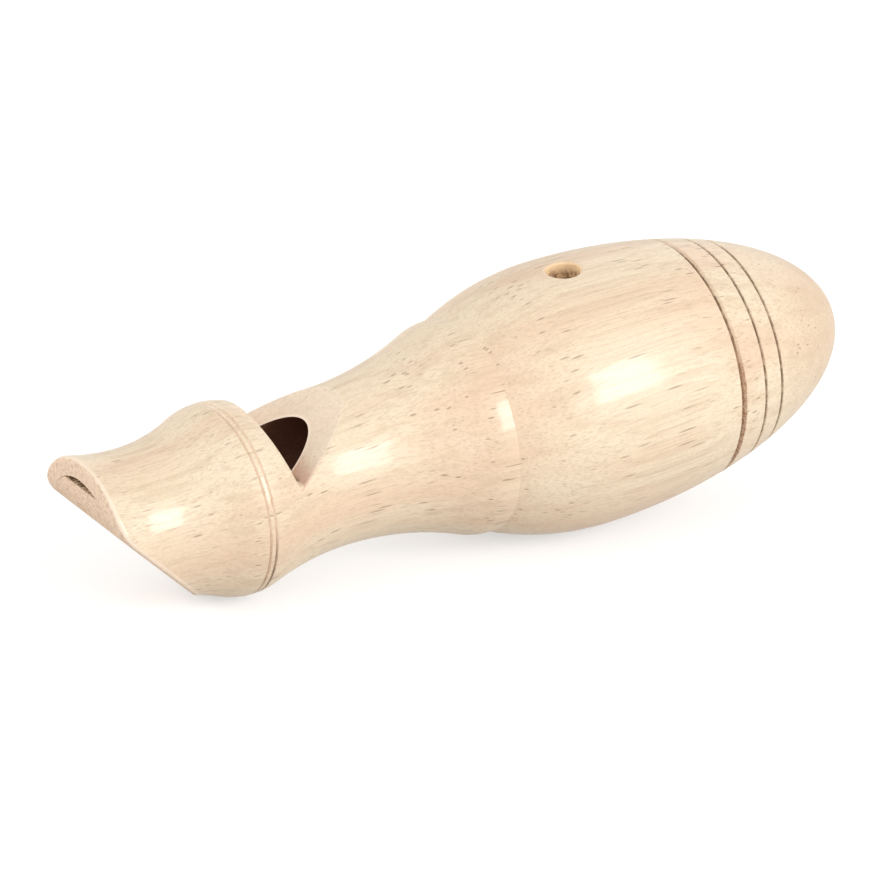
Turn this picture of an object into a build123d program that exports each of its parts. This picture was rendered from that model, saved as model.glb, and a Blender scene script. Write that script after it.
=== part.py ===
from build123d import *
import os
from math import acos, atan2, cos, degrees, radians, sin, sqrt, tan

# A turned wooden bird call: a whistle body with a beak, a fipple block glued in the beak's bore,
# and a domed cap glued in the open end of the sound chamber. Lengths are millimetres.
# The pieces are drawn along the whistle's own axis, +X from the mouth to the tail, with the
# window and the finger hole on top, and are then laid down the way the whistle lies on a table.

# Lengths of the turned outline along the axis, from the mouth to the tail
lip_to_waist = 7.9
waist_to_collar = 12.1
collar_to_neck = 14.4
neck_to_step = 19.7
step_land = 0.8
step_to_crest = 15.7
crest_to_tail = 39.5

# Heights of the turned outline: the waist's radius, then how far each crest or hollow stands from the last
waist_radius = 9.9
lip_flare = 1.2
collar_rise = 2.5
neck_drop = 2.3
step_rise = 3.85
crest_rise = 3.45
collar_curve = 9.0
step_curve = 8.0

# Beak: the flat mouth face ends above the axis, and a slanted cut runs from there to the underside
beak_height = 4.4
beak_angle = 47.5
beak_rounding = 6.0
rim_rounding = 0.6

# Socket of the glued fipple block, and the windway between the block and the socket's roof
socket_wall = 1.4
windway_height = 1.0
glue_gap = 0.05

# Window behind the collar: a leaning front wall, and a ramp that rises from the sharp edge
collar_to_window = 4.3
window_length = 7.6
window_wall_lean = 16.0
ramp_angle = 29.0
window_corner = 0.8
window_softening = 0.6

# Sound chamber, its finger hole, and the cap's tenon
step_to_chamber = 5.2
chamber_wall = 2.8
finger_hole_radius = 2.25
hole_softening = 0.3
crest_to_joint = 16.7
tenon_length = 6.0
tenon_chamfer = 0.6

# Turned grooves: two V lines that leave a bead on the collar, one at the cap's joint, two behind it
bead_width = 0.85
collar_groove_width = 0.4
collar_groove_depth = 0.3
joint_groove_width = 0.9
joint_groove_depth = 0.6
fine_groove_width = 0.55
fine_groove_depth = 0.45
joint_to_second_groove = 4.0
second_to_third_groove = 3.0

# Places along the axis, and radii, that follow from the sizes above
collar_at = lip_to_waist + waist_to_collar
neck_at = collar_at + collar_to_neck
step_at = neck_at + neck_to_step
land_end = step_at + step_land
crest_at = land_end + step_to_crest
tail_at = crest_at + crest_to_tail
joint_at = crest_at + crest_to_joint
chamber_at = land_end + step_to_chamber
window_at = collar_at + collar_to_window

collar_radius = waist_radius + collar_rise
neck_radius = collar_radius - neck_drop
step_radius = neck_radius + step_rise
crest_radius = step_radius + crest_rise
crest_curve = (step_to_crest**2 + crest_rise**2) / (2 * crest_rise)
socket_radius = min(waist_radius, neck_radius) - socket_wall
bore_radius = socket_radius - windway_height
wall_run = tan(radians(window_wall_lean))
ramp_run = 1 / tan(radians(ramp_angle))
window_depth = window_length / (wall_run + ramp_run)
socket_end = window_at + wall_run * window_depth
beyond = 2 * crest_radius


def tail_radius(at):
    """Radius of the tail's half ellipse at a place behind the crest."""
    return crest_radius * sqrt(1 - ((at - crest_at) / crest_to_tail) ** 2)


def hollow_to_crest(hollow, crest, curve):
    """Two arcs, level at both ends, that meet in line: curve is the radius of the one at the crest."""
    rise = crest.Y - hollow.Y
    both_radii = ((crest.X - hollow.X) ** 2 + rise**2) / (2 * rise)
    meeting = hollow + (crest - hollow) * (1 - curve / both_radii)
    onward = Vector(crest.X - hollow.X, 0).normalized()
    return [TangentArc(hollow, meeting, tangent=onward), TangentArc(crest, meeting, tangent=-onward)]


def turn(outline):
    """A closed outline in the XY plane, turned about the axis."""
    return revolve(make_face(outline), axis=Axis.X)


def turned_blank():
    """The whole whistle as it leaves the lathe, without its grooves and holes."""
    lip = Vector(0, waist_radius + lip_flare)
    waist = Vector(lip_to_waist, waist_radius)
    collar = Vector(collar_at, collar_radius)
    neck = Vector(neck_at, neck_radius)
    step = Vector(step_at, step_radius)
    land = Vector(land_end, step_radius)
    crest = Vector(crest_at, crest_radius)
    outline = [
        Line((0, 0), lip),
        TangentArc(waist, lip, tangent=(-1, 0)),
        *hollow_to_crest(waist, collar, collar_curve),
        *hollow_to_crest(neck, collar, collar_curve),
        *hollow_to_crest(neck, step, step_curve),
        Line(step, land),
        TangentArc(crest, land, tangent=(-1, 0)),
        EllipticalCenterArc((crest_at, 0), crest_to_tail, crest_radius, 0, arc_size=90),
        Line((tail_at, 0), (0, 0)),
    ]
    return turn(outline)


def across(outline):
    """A closed outline in the upright plane through the axis, carried right across the whistle."""
    return extrude(Plane.XZ * outline, beyond, both=True)


def beaked(blank):
    """The blank with its mouth face and slanted beak, and their rim rounded over."""
    lowest = -beyond
    slant_end = (beak_height - lowest) / tan(radians(beak_angle))
    corner = (0, beak_height)
    kept = make_face(Polyline((0, beyond), corner, (slant_end, lowest), (tail_at + beyond, lowest),
                              (tail_at + beyond, beyond), close=True))
    edge = kept.vertices().sort_by_distance(corner)[0]
    prism = across(fillet(edge, beak_rounding))
    cut = blank & prism
    return fillet(new_edges(blank, prism, combined=cut), rim_rounding)


def v_groove(at, radius, slope, width, depth):
    """Ring with a V section, square to an outline that has this radius and slope at this place."""
    along = Vector(1, slope).normalized()
    outward = Vector(-slope, 1).normalized()
    place = Vector(at, radius)
    tip = place - outward * depth
    over = place + outward * depth
    return turn(Polyline(tip, over + along * width, over - along * width, close=True))


def tail_groove(at, width, depth):
    """V groove in the tail's half ellipse."""
    radius = tail_radius(at)
    slope = -((crest_radius / crest_to_tail) ** 2) * (at - crest_at) / radius
    return v_groove(at, radius, slope, width, depth)


def collar_groove(offset):
    """V groove at this distance from the collar's crest."""
    height = sqrt(collar_curve**2 - offset**2)
    radius = collar_radius - collar_curve + height
    return v_groove(collar_at + offset, radius, -offset / height, collar_groove_width, collar_groove_depth)


def window():
    """Notch across the top of the neck, whose ramp meets the roof of the bore in the sharp edge."""
    bottom = Vector(socket_end, bore_radius - window_depth)
    height = beyond - bottom.Y
    wall_top = bottom + Vector(-wall_run, 1) * height
    ramp_top = bottom + Vector(ramp_run, 1) * height
    outline = make_face(Polyline(bottom, ramp_top, wall_top, close=True))
    corner = outline.vertices().sort_by_distance(bottom)[0]
    return across(fillet(corner, window_corner))


def finger_hole():
    """Round hole drilled down through the chamber's crest."""
    upward = (Align.CENTER, Align.CENTER, Align.MIN)
    return Pos(crest_at, 0, 0) * Cylinder(finger_hole_radius, beyond, align=upward)


def softened_cut(solid, cutter, softening):
    """Cut whose edges on the turned surface are rounded over."""
    cut = solid - cutter
    return fillet(new_edges(solid, cutter, combined=cut), softening)


def bar(start, end, radius):
    """Round bar along the axis."""
    return Plane.YZ.offset(start) * extrude(Circle(radius), end - start)


def body(blank, chamber_radius):
    """Beak, neck and chamber in one turned piece, bored from both ends."""
    turning = blank - bar(joint_at, tail_at + beyond, beyond)
    turning = softened_cut(turning, window(), window_softening)
    turning = softened_cut(turning, finger_hole(), hole_softening)
    turning -= bar(-beyond, socket_end, socket_radius)
    turning -= bar(-beyond, joint_at, bore_radius)
    return turning - bar(chamber_at, joint_at, chamber_radius)


def fipple_block(blank):
    """Dowel in the beak's socket, cut flush with the beak and the window, with a flat on top under the windway."""
    dowel = bar(-beyond, socket_end, socket_radius - glue_gap) & blank
    floor = Pos(0, 0, bore_radius)
    above = floor * Box(beyond * 2, beyond * 2, beyond, align=(Align.CENTER, Align.CENTER, Align.MIN))
    return dowel - above - window()


def tail_cap(blank, chamber_radius):
    """Domed cap: its shoulder meets the chamber's rim, and its tenon fills the chamber's open end."""
    dome = blank - bar(-beyond, joint_at, beyond)
    tenon = bar(joint_at - tenon_length, joint_at, chamber_radius - glue_gap)
    tenon = chamfer(tenon.edges().sort_by(Axis.X)[0], tenon_chamfer)
    return dome + tenon


def lying_on_table(pieces):
    """The whistle as it lies: on its collar and chamber, with the origin under the middle of its box."""
    run = crest_at - collar_at
    rise = (crest_radius - crest_curve) - (collar_radius - collar_curve)
    lean = acos((collar_curve - crest_curve) / sqrt(run**2 + rise**2)) - atan2(run, rise)
    height = (collar_radius - collar_curve) * cos(lean) - collar_at * sin(lean) + collar_curve
    leaning = Pos(0, 0, height) * Rot(0, -degrees(lean), 0)
    laid = {name: leaning * piece for name, piece in pieces.items()}
    boxes = [piece.bounding_box() for piece in laid.values()]
    middle = (min(box.min.X for box in boxes) + max(box.max.X for box in boxes)) / 2
    print(f"leans {degrees(lean):.3f} degrees, mouth end at X {-middle:.3f}, Z {height:.3f}")
    return {name: Pos(-middle, 0, 0) * piece for name, piece in laid.items()}


blank = beaked(turned_blank())
second_groove_at = joint_at + joint_to_second_groove
third_groove_at = second_groove_at + second_to_third_groove
blank -= collar_groove(-bead_width / 2)
blank -= collar_groove(bead_width / 2)
blank -= tail_groove(joint_at, joint_groove_width, joint_groove_depth)
blank -= tail_groove(second_groove_at, fine_groove_width, fine_groove_depth)
blank -= tail_groove(third_groove_at, fine_groove_width, fine_groove_depth)
chamber_radius = tail_radius(joint_at) - chamber_wall

pieces = {
    "body": body(blank, chamber_radius),
    "fipple_block": fipple_block(blank),
    "tail_cap": tail_cap(blank, chamber_radius),
}
os.makedirs("parts", exist_ok=True)
for name, piece in lying_on_table(pieces).items():
    export_step(piece, f"parts/{name}.step")
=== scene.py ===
from math import cos, radians, sin

import bpy
from mathutils import Matrix, Vector

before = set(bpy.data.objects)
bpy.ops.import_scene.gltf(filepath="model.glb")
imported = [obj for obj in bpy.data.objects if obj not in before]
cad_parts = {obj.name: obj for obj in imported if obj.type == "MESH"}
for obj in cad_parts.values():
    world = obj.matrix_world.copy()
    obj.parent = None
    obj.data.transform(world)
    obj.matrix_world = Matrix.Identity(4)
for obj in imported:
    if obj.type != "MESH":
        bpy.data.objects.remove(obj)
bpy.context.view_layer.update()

# The body: beak, neck and sound chamber of the bird call, turned in one piece from a pale, open-pored
# hardwood with the grain along its axis. It was sanded and dipped in clear gloss lacquer; the mouth face,
# the slanted cut under the beak and the inner part of the window's ramp are nearly bare.

# Where the whistle's own axis starts and how far it leans, then places along it and radii in millimetres
mouth_centre = (-0.054265, 0.0, 0.010359)
axis_lean = radians(5.808)
collar_at = 20.0
collar_bead_width = 0.85
beak_height = 4.4
beak_angle = radians(47.5)
beak_rounding = 6.0
notch_bottom_at = 25.3
window_edge_at = 31.9
ramp_angle = radians(29.0)
ramp_end_at = 40.0
neck_bore_radius = 7.5
neck_skin_radius = 10.0
socket_radius = 8.5
chamber_at = 60.1
chamber_radius = 12.97
finger_hole_at = 70.6
finger_hole_radius = 2.25
# Heights up the finger hole's wall between which painted shade darkens it
hole_shade_from, hole_shade_full_at = 16.9, 15.4
joint_at = 87.3
collar_line_width = 0.26
tail_line_width = 0.24

# Colours of the wood: whole and in its pores, then where it is cut, bored, browned or torn, with a pale
# tone for painted light and browns that also carry painted shade
pale_wood = (0.83, 0.695, 0.51, 1)
tan_wood = (0.60, 0.425, 0.28, 1)
pink_wood = (0.775, 0.56, 0.395, 1)
streak_brown = (0.43, 0.23, 0.13, 1)
pore_brown = (0.24, 0.145, 0.08, 1)
cut_wood = (0.86, 0.65, 0.48, 1)
cut_speckle = (0.36, 0.20, 0.115, 1)
# Pale tone painted as light and highlight on the mouth rim, the ramp, its sharp edge and the collar
# grooves' tops
painted_light_pale = (0.95, 0.79, 0.64, 1)
# Brown of the raw bores, darkened further to stand for the shade inside them
bore_brown_and_shade = (0.38, 0.20, 0.14, 1)
# Dark brown of burnt lines and the joint, also used as painted shade in the ramp's corner, under the collar
# and deep in the windway
line_and_shade_brown = (0.15, 0.08, 0.042, 1)
rust_brown = (0.40, 0.20, 0.10, 1)
tip_red = (0.58, 0.29, 0.19, 1)
torn_wood = (0.92, 0.67, 0.41, 1)
# Dark brown painted as shade deeper down the finger hole's wall
torn_painted_shade = (0.28, 0.14, 0.065, 1)

# Marks in the wood: their size along and across the grain in millimetres, and how strongly they show
cloud_size, cloud_share = (70, 9, 9), 0.8
band_size, band_share = (110, 1.5, 1.5), 0.34
line_size, line_share = (30, 0.22, 0.22), 0.44
dust_size, dust_share = (0.5, 0.2, 0.2), 0.26
seam_size, seam_share = (70, 1.4, 1.4), 0.45
small_pore_size, small_pore_share = (4.2, 0.38, 0.38), 0.20
bold_pore_size, bold_pore_share = (8.5, 0.64, 0.64), 0.60
bold_patch_size = (16, 3.0, 3.0)
sway_length, sway_width = 50, 6

# Shine of the wood, of the lacquer over it, and the depth of the grain's relief in metres
wood_shine = 0.08
bare_roughness, lacquered_roughness = 0.75, 0.42
bare_coat, lacquer_coat = 0.01, 0.175
coat_roughness = 0.13
coat_ior = 2.2
relief_strength = 0.5
relief_depth = 0.00006


class Finish:
    """Short calls for the nodes of one finish; each gives back the socket that it makes."""

    def __init__(self, name):
        self.material = bpy.data.materials.new(name)
        self.material.use_nodes = True
        self.tree = self.material.node_tree
        self.shader = self.tree.nodes["Principled BSDF"]

    def put(self, socket, value):
        """Links a socket to the value, or sets it where the value is a constant."""
        if isinstance(value, bpy.types.NodeSocket):
            self.tree.links.new(value, socket)
        else:
            socket.default_value = value

    def node(self, kind, sockets=(), **settings):
        made = self.tree.nodes.new(kind)
        for key, value in settings.items():
            setattr(made, key, value)
        for key, value in dict(sockets).items():
            self.put(made.inputs[key], value)
        return made

    def set(self, name, value):
        self.put(self.shader.inputs[name], value)

    def math(self, operation, *values):
        return self.node("ShaderNodeMath", enumerate(values), operation=operation).outputs[0]

    def vector(self, operation, *values):
        return self.node("ShaderNodeVectorMath", enumerate(values), operation=operation).outputs["Vector"]

    def times(self, *shares):
        total = shares[0]
        for share in shares[1:]:
            total = self.math("MULTIPLY", total, share)
        return total

    def either(self, *shares):
        total = shares[0]
        for share in shares[1:]:
            total = self.math("MAXIMUM", total, share)
        return total

    def without(self, share):
        return self.math("SUBTRACT", 1.0, share)

    def plus(self, total, value, factor):
        """The total and this many times the value."""
        return self.math("MULTIPLY_ADD", value, factor, total)

    def between(self, share, none, full):
        """From the value none where the share is 0 to the value full where it is 1."""
        return self.math("MULTIPLY_ADD", share, full - none, none)

    def above(self, value, limit):
        return self.math("GREATER_THAN", value, limit)

    def below(self, value, limit):
        return self.math("LESS_THAN", value, limit)

    def away(self, first, second):
        """Distance in the plane of these two lengths."""
        return self.math("SQRT", self.math("ADD", self.times(first, first), self.times(second, second)))

    def fade(self, value, full, none):
        """1 where the value is at full, 0 where it is at none, smooth between."""
        sockets = {"Value": value, "From Min": none, "From Max": full}
        return self.node("ShaderNodeMapRange", sockets, interpolation_type="SMOOTHSTEP").outputs["Result"]

    def mix(self, share, first, second):
        made = self.node("ShaderNodeMix", data_type="RGBA")
        for key, value in zip(("Factor_Float", "A_Color", "B_Color"), (share, first, second)):
            self.put(next(s for s in made.inputs if s.identifier == key), value)
        return next(s for s in made.outputs if s.identifier == "Result_Color")

    def whistle_axes(self):
        """Millimetres along the whistle's own axes: X from the mouth to the tail, Z through the window."""
        place = self.node("ShaderNodeTexCoord").outputs["Object"]
        settings = {"Vector": place, "Location": mouth_centre, "Rotation": (0, -axis_lean, 0)}
        turned = self.node("ShaderNodeMapping", settings, vector_type="TEXTURE").outputs["Vector"]
        return self.vector("MULTIPLY", turned, (1000, 1000, 1000))

    def lengths(self, axes):
        return self.node("ShaderNodeSeparateXYZ", {"Vector": axes}).outputs

    def noise(self, place, size, detail=2.0, roughness=0.55):
        """Noise whose patches have about this size along each axis."""
        cells = self.vector("DIVIDE", place, size)
        sockets = {"Vector": cells, "Scale": 1.0, "Detail": detail, "Roughness": roughness}
        return self.node("ShaderNodeTexNoise", sockets).outputs["Fac"]

    def patches(self, place, size, full, none, detail=2.0, roughness=0.55):
        """Soft-edged patches where the noise is strong."""
        return self.fade(self.noise(place, size, detail, roughness), full, none)

    def pores(self, place, cell, radius, share):
        """Vessels along the grain: dashes where the wood is cut lengthwise, dots where it is cut across."""
        cells = self.vector("DIVIDE", place, cell)
        spots = self.node("ShaderNodeTexVoronoi", {"Vector": cells, "Scale": 1.0})
        inside = self.fade(spots.outputs["Distance"], radius * 0.4, radius)
        chosen = self.node("ShaderNodeSeparateColor", {"Color": spots.outputs["Color"]}).outputs[0]
        return self.times(inside, self.below(chosen, share))

    def sink(self, relief):
        """Sinks the pores and lines a little into the surface."""
        sockets = {"Height": relief, "Strength": relief_strength, "Distance": relief_depth}
        self.set("Normal", self.node("ShaderNodeBump", sockets, invert=True).outputs["Normal"])


def turned_wood(name, log_offset):
    """A finish with the wood's colour and relief, and the whistle's own axes."""
    wood = Finish(name)
    axes = wood.whistle_axes()
    log = wood.vector("ADD", axes, log_offset)
    sockets = {"Vector": log, "Scale": 1 / sway_length, "Detail": 1.0}
    sway = wood.node("ShaderNodeTexNoise", sockets).outputs["Color"]
    sway = wood.vector("SUBTRACT", sway, (0.5, 0.5, 0.5))
    grain = wood.vector("ADD", log, wood.vector("MULTIPLY", sway, (0, sway_width, sway_width)))

    clouds = wood.patches(grain, cloud_size, 0.68, 0.36)
    bands = wood.patches(grain, band_size, 0.68, 0.46, 3.0, 0.6)
    lines = wood.patches(grain, line_size, 0.70, 0.46, 2.0, 0.6)
    dust = wood.patches(log, dust_size, 0.74, 0.42, 1.0)
    colour = wood.mix(wood.times(clouds, cloud_share), pale_wood, pink_wood)
    for marks, share in ((bands, band_share), (lines, line_share), (dust, dust_share)):
        colour = wood.mix(wood.times(marks, share), colour, tan_wood)

    bold = wood.pores(grain, bold_pore_size, 0.25, 0.62)
    bold = wood.times(bold, wood.patches(grain, bold_patch_size, 0.58, 0.36, 1.0))
    small = wood.pores(wood.vector("ADD", grain, (3, 5, 7)), small_pore_size, 0.27, 0.5)
    seams = wood.pores(wood.vector("ADD", grain, (9, 2, 4)), seam_size, 0.10, 0.75)
    colour = wood.mix(wood.times(seams, seam_share), colour, streak_brown)
    colour = wood.mix(wood.times(small, small_pore_share), colour, pore_brown)
    colour = wood.mix(wood.times(bold, bold_pore_share), colour, pore_brown)
    relief = wood.plus(wood.either(bold, wood.times(small, 0.4)), lines, 0.12)
    return wood, axes, colour, relief


def lacquer(wood, colour, relief, bare):
    """Clear gloss lacquer over the colour, thin where the wood is bare, with the relief sunk in it."""
    wood.set("Base Color", colour)
    wood.set("Roughness", wood.between(bare, lacquered_roughness, bare_roughness))
    wood.set("Coat Weight", wood.between(bare, lacquer_coat, bare_coat))
    wood.set("Coat Roughness", coat_roughness)
    wood.set("Coat IOR", coat_ior)
    wood.set("Specular IOR Level", wood_shine)
    wood.sink(relief)


def end_grain(wood, axes):
    """Sawn and sanded wood whose open pores show as brown specks: its colour, and the specks."""
    coarse = wood.patches(axes, (0.9, 0.5, 0.5), 0.66, 0.46, 2.0, 0.7)
    fine = wood.patches(axes, (0.3, 0.16, 0.16), 0.74, 0.50, 1.0, 0.6)
    specks = wood.either(wood.times(coarse, 0.6), wood.times(fine, 0.7))
    return wood.mix(wood.times(specks, 0.8), cut_wood, cut_speckle), specks


def beak_depth(wood, along, upward):
    """Depth under the mouth face, the slanted cut and the rounded corner between them."""
    slant = wood.plus(-beak_height * cos(beak_angle), upward, cos(beak_angle))
    slant = wood.plus(slant, along, sin(beak_angle))
    flats = wood.math("MINIMUM", along, slant)
    centre_up = beak_height + beak_rounding * (1 - sin(beak_angle)) / cos(beak_angle)
    from_centre = wood.math("SUBTRACT", along, beak_rounding)
    over_centre = wood.math("SUBTRACT", upward, centre_up)
    rounded = wood.math("SUBTRACT", beak_rounding, wood.away(from_centre, over_centre))
    down_slant = wood.plus(wood.times(over_centre, -sin(beak_angle)), from_centre, cos(beak_angle))
    in_corner = wood.times(wood.below(over_centre, 0.0), wood.below(down_slant, 0.0))
    return wood.math("SUBTRACT", flats, wood.times(in_corner, wood.math("SUBTRACT", flats, rounded)))


def off_line(wood, axes, at, patch, swing):
    """Distance from a ragged line round the whistle at this place."""
    ragged = wood.between(wood.noise(axes, (patch, patch, patch)), -swing, swing)
    off = wood.math("SUBTRACT", wood.lengths(axes)[0], at)
    return wood.math("ABSOLUTE", wood.math("ADD", off, ragged))


def groove_line(wood, axes, at, width):
    """Share of the dark line that a hot wire left along the bottom of a turned groove."""
    off = off_line(wood, axes, at, 0.5, 0.11)
    worn = wood.between(wood.patches(axes, (1.6, 1.6, 1.6), 0.60, 0.36), 0.5, 1.0)
    return wood.times(wood.fade(off, width * 0.4, width), worn)


def joint_browned(wood, axes, colour):
    """The cap's joint line, with the strip of rust brown along the lower part of one side."""
    sideways, upward = wood.lengths(axes)[1:]
    near_side = wood.fade(sideways, -9.0, -3.0)
    under_top = wood.fade(upward, 2.0, 9.0)
    over_underside = wood.fade(upward, -8.5, -12.5)
    one_side = wood.times(near_side, under_top, over_underside)
    mottled = wood.between(wood.patches(axes, (0.3, 0.3, 0.3), 0.62, 0.38), 0.4, 1.0)
    off = off_line(wood, axes, joint_at, 0.8, 0.2)
    colour = wood.mix(wood.times(wood.fade(off, 0.36, 0.58), one_side, mottled), colour, rust_brown)
    core = groove_line(wood, axes, joint_at, tail_line_width)
    core = wood.times(core, wood.between(one_side, 0.85, 0.45))
    return wood.mix(core, colour, line_and_shade_brown)


def bored(wood, radius, wall, soft):
    """1 inside a bored wall of this radius, and fading out this far beyond it."""
    return wood.fade(radius, wall + 0.02, wall + soft)


def body_wood():
    wood, axes, colour, relief = turned_wood("body_wood", (0, 31, 17))
    along, sideways, upward = wood.lengths(axes)
    radius = wood.away(sideways, upward)
    cut_colour, specks = end_grain(wood, axes)

    # The mouth and the slanted cut are bare up to the lacquered rounding of their rim, which is paled as a
    # painted highlight
    depth = beak_depth(wood, along, upward)
    mouth_cut = wood.fade(depth, 0.10, 0.30)
    rim_painted_highlight = wood.fade(depth, 0.5, 0.8)
    colour = wood.mix(wood.times(rim_painted_highlight, 0.6), colour, painted_light_pale)
    colour = wood.mix(wood.times(mouth_cut, 0.85), colour, cut_colour)

    # The ramp is reddest near the bottom of the notch; painted light pales it to match the neck, painted
    # shade darkens its corner and a painted highlight pales its sharp edge
    ramp = window_edge_at * sin(ramp_angle) - neck_bore_radius * cos(ramp_angle)
    ramp = wood.plus(wood.plus(ramp, along, -sin(ramp_angle)), upward, cos(ramp_angle))
    ramp = wood.math("ABSOLUTE", ramp)
    over_neck = wood.times(wood.above(along, notch_bottom_at), wood.below(along, ramp_end_at))
    outside_bore = wood.above(radius, neck_bore_radius - 0.03)
    ramp_cut = wood.times(wood.fade(ramp, 0.03, 0.14), over_neck, outside_bore)
    under_skin = wood.fade(radius, neck_skin_radius - 0.6, neck_skin_radius)
    in_notch = wood.times(wood.below(ramp, 0.12), under_skin, over_neck)
    reddened = wood.fade(along, notch_bottom_at + 0.9, notch_bottom_at + 4.1)
    corner_painted_shade = wood.fade(along, notch_bottom_at + 0.4, notch_bottom_at + 1.2)
    sharp_edge_highlight = wood.fade(radius, neck_bore_radius + 0.12, neck_bore_radius + 0.30)
    sharp_edge_highlight = wood.times(ramp_cut, sharp_edge_highlight)
    # Painted light: the whole ramp is paled to match the lit neck
    colour = wood.mix(wood.times(ramp_cut, 0.5), colour, painted_light_pale)
    colour = wood.mix(wood.times(ramp_cut, specks, 0.22), colour, cut_speckle)
    colour = wood.mix(wood.times(ramp_cut, reddened, 0.6), colour, tip_red)
    # Painted shade in the notch's corner
    colour = wood.mix(wood.times(in_notch, corner_painted_shade), colour, line_and_shade_brown)
    # Painted highlight along the ramp's sharp edge
    colour = wood.mix(wood.times(sharp_edge_highlight, 0.9), colour, painted_light_pale)

    # Neck bore, block socket and chamber are bored and bare, their brown partly raw wood and partly painted
    # shade, and the finger hole's wall is torn wood
    in_neck = bored(wood, radius, neck_bore_radius, 0.10)
    in_socket = wood.times(bored(wood, radius, socket_radius, 0.12), wood.without(ramp_cut))
    in_chamber = wood.times(bored(wood, radius, chamber_radius, 0.12), wood.above(along, chamber_at - 0.1))
    hollow = wood.times(wood.either(in_neck, in_socket, in_chamber),
                        wood.without(mouth_cut), wood.without(sharp_edge_highlight))
    from_hole = wood.away(wood.math("SUBTRACT", along, finger_hole_at), sideways)
    in_hole = wood.times(bored(wood, from_hole, finger_hole_radius, 0.20), wood.above(upward, 0.0))
    torn = wood.patches(axes, (0.8, 0.6, 0.9), 0.66, 0.44, 3.0, 0.7)
    # Painted shade: the hole's torn wall darkens deeper down
    hole_painted_shade = wood.fade(upward, hole_shade_full_at, hole_shade_from)
    torn_colour = wood.mix(wood.times(torn, hole_painted_shade), torn_wood, torn_painted_shade)
    colour = wood.mix(wood.times(in_hole, 0.9), colour, torn_colour)

    # Faint lines beside the collar's bead, paled on top with painted light against their own shading; the
    # rear one darkens underneath, partly as its burnt line and partly as painted shade
    painted_shade_underside = wood.fade(upward, -9.0, 2.0)
    front_line = groove_line(wood, axes, collar_at - collar_bead_width / 2, collar_line_width)
    rear_line = groove_line(wood, axes, collar_at + collar_bead_width / 2, collar_line_width)
    # Painted light: the grooves are paled on the top side
    groove_painted_light = wood.times(wood.either(front_line, rear_line), wood.without(painted_shade_underside), 0.9)
    colour = wood.mix(groove_painted_light, colour, painted_light_pale)
    # Painted shade: the rear line darkens towards the underside
    rear_line = wood.times(rear_line, wood.between(painted_shade_underside, 0.06, 0.84))
    collar_lines = wood.either(wood.times(front_line, 0.08), rear_line)
    on_outside = wood.above(radius, socket_radius + 1.0)
    colour = wood.mix(wood.times(collar_lines, on_outside), colour, line_and_shade_brown)
    colour = joint_browned(wood, axes, colour)
    # Painted shade: the bores take the dark brown
    colour = wood.mix(hollow, colour, bore_brown_and_shade)

    # Lacquer ran over the outer part of the ramp
    bare_ramp = wood.times(ramp_cut, wood.fade(radius, 8.4, neck_skin_radius), 0.7)
    bare = wood.either(mouth_cut, bare_ramp, hollow, in_hole)
    relief = wood.plus(relief, wood.times(specks, bare), 0.8)
    relief = wood.plus(relief, wood.times(torn, in_hole), 2.0)
    lacquer(wood, colour, relief, bare)
    return wood.material


def dress(node_name, material):
    """The CAD piece keeps its shape and takes this material."""
    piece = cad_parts[node_name]
    piece.data.materials.clear()
    piece.data.materials.append(material)


dress("body", body_wood())


# The fipple block: a dowel of the same wood, glued in the beak's socket and cut flush with the mouth face.
# A flat planed along its top leaves the thin windway over it. It is sanded and bare, and the flat's fibres
# are torn and browned at the mouth. Deeper in the windway the flat is darkened with painted shade, and so
# is the block's inner end at the window.

windway_floor = 7.5
block_inner_end = 24.0


def block_wood():
    wood, axes, colour, relief = turned_wood("block_wood", (40, -23, 52))
    along, _, upward = wood.lengths(axes)
    cut_colour, specks = end_grain(wood, axes)
    colour = wood.mix(0.85, colour, cut_colour)
    on_flat = wood.above(upward, windway_floor - 0.05)
    colour = wood.mix(wood.times(on_flat, wood.fade(along, 0.4, 0.05)), colour, rust_brown)
    fibres = wood.patches(axes, (0.9, 0.35, 0.35), 0.58, 0.44, 2.0, 0.7)
    torn_floor = wood.mix(fibres, torn_wood, line_and_shade_brown)
    colour = wood.mix(wood.times(on_flat, wood.fade(along, 0.25, 0.05)), colour, torn_floor)
    # Painted shade deeper in the windway
    colour = wood.mix(wood.times(on_flat, wood.fade(along, 2.6, 1.4)), colour, line_and_shade_brown)
    # Painted shade at the block's inner end by the window
    at_window = wood.fade(along, block_inner_end, block_inner_end - 1.5)
    colour = wood.mix(wood.times(at_window, 0.3), colour, bore_brown_and_shade)
    wood.set("Base Color", colour)
    wood.set("Roughness", bare_roughness)
    wood.set("Specular IOR Level", wood_shine)
    wood.sink(wood.plus(relief, specks, 0.8))
    return wood.material


dress("fipple_block", block_wood())


# The tail cap: a dome turned from another length of the same wood, with a tenon glued in the chamber.
# Three grooves ring it, browned with a hot wire; the first hides the joint and is the most uneven.

second_line_at = 91.3
third_line_at = 94.3
end_grain_from, end_grain_full = 91.0, 107.0


def cap_wood():
    wood, axes, colour, relief = turned_wood("cap_wood", (73, 12, -38))
    along = wood.lengths(axes)[0]
    lines = wood.either(groove_line(wood, axes, second_line_at, tail_line_width),
                        groove_line(wood, axes, third_line_at, tail_line_width))
    speckled = wood.between(wood.noise(axes, (0.7, 0.3, 0.3)), 0.1, 1.0)
    across_grain = wood.times(wood.fade(along, end_grain_full, end_grain_from), speckled)
    colour = wood.mix(across_grain, colour, tan_wood)
    colour = wood.mix(wood.times(lines, 0.85), colour, line_and_shade_brown)
    colour = joint_browned(wood, axes, colour)
    on_tenon = wood.below(along, joint_at - 0.7)
    lacquer(wood, colour, relief, on_tenon)
    return wood.material


dress("tail_cap", cap_wood())


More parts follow.
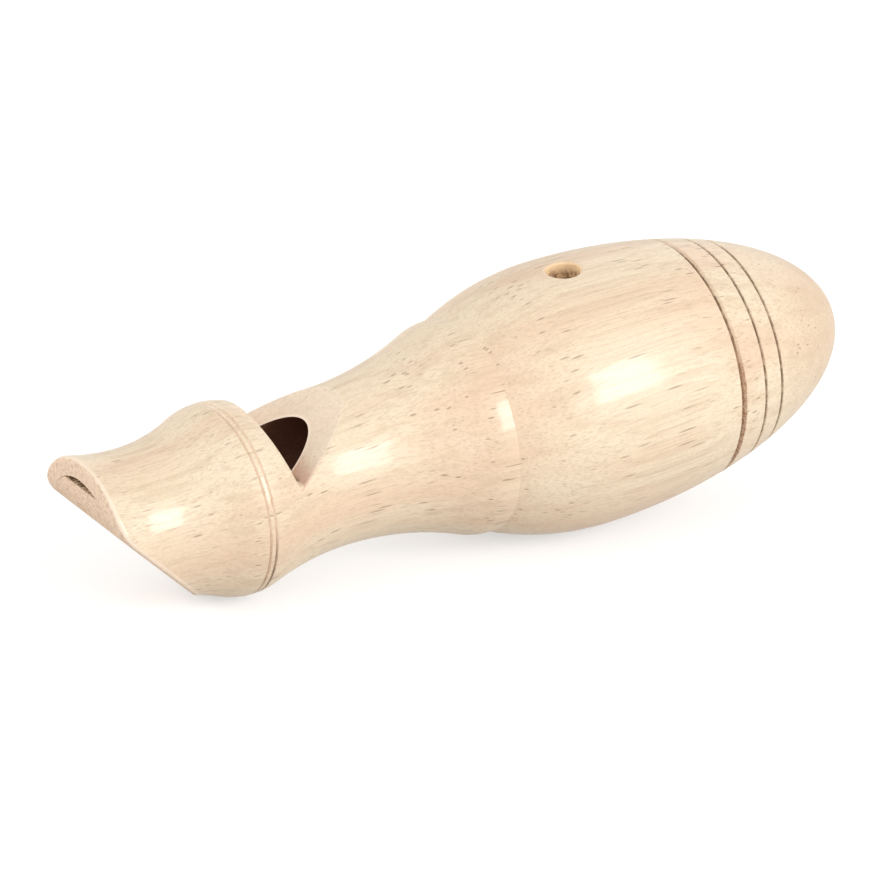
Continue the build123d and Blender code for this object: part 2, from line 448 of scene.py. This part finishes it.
# The table, the studio light and the camera: a white sweep, a softbox with a wide diffuser to the right of
# the camera, a high light on the left, fills behind, at the tail and at the beak, and a long lens that
# looks at the beak from the left.

floor_white = (0.60, 0.60, 0.60, 1)
floor_glow = 0.53
floor_reach = 6.0
sky_light = 0.48
white = (1, 1, 1, 1)


def rays_that_see(tree):
    """1 for the rays that show the backdrop: from the camera, off a gloss, or through glass."""
    rays = tree.nodes.new("ShaderNodeLightPath").outputs
    total = rays["Is Camera Ray"]
    for name in ("Is Glossy Ray", "Is Transmission Ray"):
        most = tree.nodes.new("ShaderNodeMath")
        most.operation = "MAXIMUM"
        tree.links.new(total, most.inputs[0])
        tree.links.new(rays[name], most.inputs[1])
        total = most.outputs[0]
    return total


def table():
    mesh = bpy.data.meshes.new("table")
    corners = [(x * floor_reach, y * floor_reach, 0) for x, y in ((-1, -1), (1, -1), (1, 1), (-1, 1))]
    mesh.from_pydata(corners, [], [(0, 1, 2, 3)])
    top = bpy.data.objects.new("table", mesh)
    bpy.context.scene.collection.objects.link(top)
    paper = Finish("table_white")
    paper.set("Base Color", floor_white)
    paper.set("Roughness", 0.9)
    paper.set("Specular IOR Level", 0.0)
    paper.set("Emission Color", white)
    paper.set("Emission Strength", paper.times(rays_that_see(paper.tree), floor_glow))
    mesh.materials.append(paper.material)


def white_world():
    world = bpy.data.worlds.new("studio")
    world.use_nodes = True
    tree = world.node_tree
    level = tree.nodes.new("ShaderNodeMapRange")
    level.inputs["To Min"].default_value = sky_light
    level.inputs["To Max"].default_value = 1.0
    tree.links.new(rays_that_see(tree), level.inputs["Value"])
    backdrop = tree.nodes["Background"]
    backdrop.inputs["Color"].default_value = white
    tree.links.new(level.outputs["Result"], backdrop.inputs["Strength"])
    bpy.context.scene.world = world


def soft_light(name, direction, distance, width, height, power):
    """A rectangular softbox that faces the whistle: lengths in metres, power in watts."""
    lamp = bpy.data.lights.new(name, "AREA")
    lamp.shape = "RECTANGLE"
    lamp.size = width
    lamp.size_y = height
    lamp.energy = power
    stand = bpy.data.objects.new(name, lamp)
    toward = Vector(direction).normalized()
    stand.location = toward * distance
    stand.rotation_euler = toward.to_track_quat("Z", "Y").to_euler()
    bpy.context.scene.collection.objects.link(stand)


def camera():
    lens = bpy.data.cameras.new("camera")
    lens.sensor_width = 36.0
    lens.lens = 327.27
    lens.clip_end = 50.0
    eye = bpy.data.objects.new("camera", lens)
    place = (-0.50532, -0.77461, 0.42331)
    right = Vector((0.84998, -0.5243, 0.05131))
    up = Vector((0.17295, 0.36973, 0.9129))
    back = Vector((-0.49761, -0.76708, 0.40495))
    turned = Matrix((right, up, back)).transposed().to_4x4()
    eye.matrix_world = Matrix.Translation(place) @ turned
    bpy.context.scene.collection.objects.link(eye)
    bpy.context.scene.camera = eye


table()
white_world()
soft_light("tall_softbox", (0.36, -0.81, 0.46), 0.7, 0.26, 0.32, 2.2)
soft_light("wide_diffuser", (0.40, -0.80, 0.45), 0.75, 0.62, 0.66, 1.6)
soft_light("high_left", (-0.65, -0.2, 0.75), 0.9, 0.8, 0.7, 1.6)
soft_light("back_fill", (-0.62, 0.75, 0.35), 0.9, 0.8, 0.55, 3.2)
soft_light("tail_fill", (0.8, 0.6, 0.4), 0.9, 0.7, 0.5, 1.2)
soft_light("beak_fill", (-0.95, -0.28, 0.14), 0.8, 0.6, 0.22, 1.1)
camera()
bpy.context.scene.view_settings.view_transform = "Standard"
